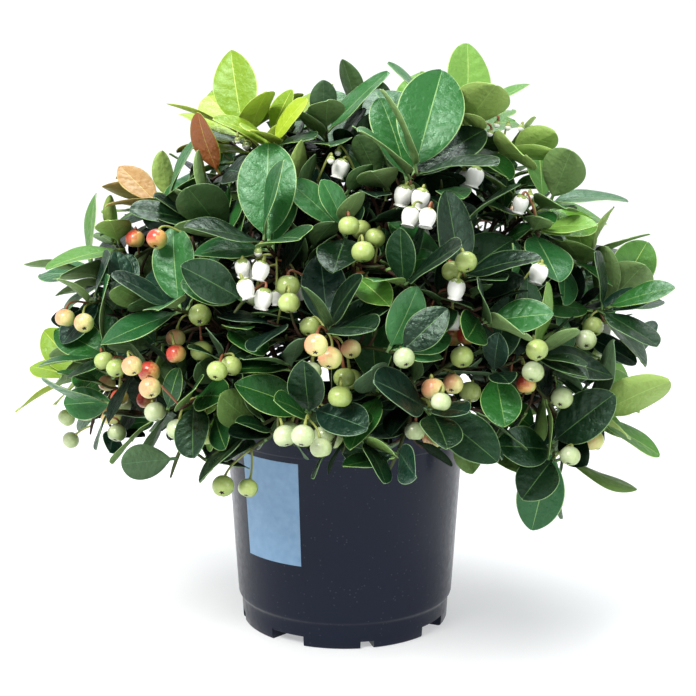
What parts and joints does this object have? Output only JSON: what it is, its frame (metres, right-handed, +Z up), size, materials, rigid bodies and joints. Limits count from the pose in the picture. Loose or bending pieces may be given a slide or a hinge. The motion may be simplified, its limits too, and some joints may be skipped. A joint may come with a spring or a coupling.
{
  "type": "potted wintergreen shrub",
  "caption": "Low bushy wintergreen in a round black nursery pot, with glossy oval leaves, pale berries and small white bell flowers.",
  "frame": {"origin": "middle of the pot's flat underside, on the surface that the pot stands on", "axes": "+Z up through the pot and the crown, -Y towards the front of the pictured view, +X to its right"},
  "size_m": [0.316, 0.2813, 0.279],
  "materials": {
    "pot": "matte black, finely moulded",
    "soil": "moist crumbly potting mix",
    "bark": "thin brown bark",
    "foliage": "glossy leathery leaves"
  },
  "bodies": {
    "root": {"foliage_back_left_high": "foliage", "foliage_back_left_low": "foliage", "foliage_back_middle": "foliage", "foliage_back_right_high": "foliage", "foliage_back_right_low": "foliage", "foliage_back_skirt": "foliage", "foliage_back_top": "foliage", "foliage_front_high": "foliage", "foliage_front_left_high": "foliage", "foliage_front_left_middle": "foliage", "foliage_front_left_skirt": "foliage", "foliage_front_middle": "foliage", "foliage_front_right_high": "foliage", "foliage_front_right_skirt": "foliage", "foliage_front_skirt": "foliage", "foliage_left_high": "foliage", "foliage_left_low": "foliage", "foliage_left_middle": "foliage", "foliage_left_skirt": "foliage", "foliage_right_high": "foliage", "foliage_right_low": "foliage", "foliage_right_middle": "foliage", "foliage_right_skirt": "foliage", "foliage_top_front": "foliage", "foliage_top_left": "foliage", "foliage_top_middle": "foliage", "foliage_top_right": "foliage", "pot": "pot", "root_crown": "bark", "soil": "soil", "stem_back_left_high": "bark", "stem_back_left_low": "bark", "stem_back_middle": "bark", "stem_back_right_high": "bark", "stem_back_right_low": "bark", "stem_back_skirt": "bark", "stem_back_top": "bark", "stem_front_high": "bark", "stem_front_left_high": "bark", "stem_front_left_middle": "bark", "stem_front_left_skirt": "bark", "stem_front_middle": "bark", "stem_front_right_high": "bark", "stem_front_right_skirt": "bark", "stem_front_skirt": "bark", "stem_left_high": "bark", "stem_left_low": "bark", "stem_left_middle": "bark", "stem_left_skirt": "bark", "stem_right_high": "bark", "stem_right_low": "bark", "stem_right_middle": "bark", "stem_right_skirt": "bark", "stem_top_front": "bark", "stem_top_left": "bark", "stem_top_middle": "bark", "stem_top_right": "bark"}
  },
  "joints": []
}
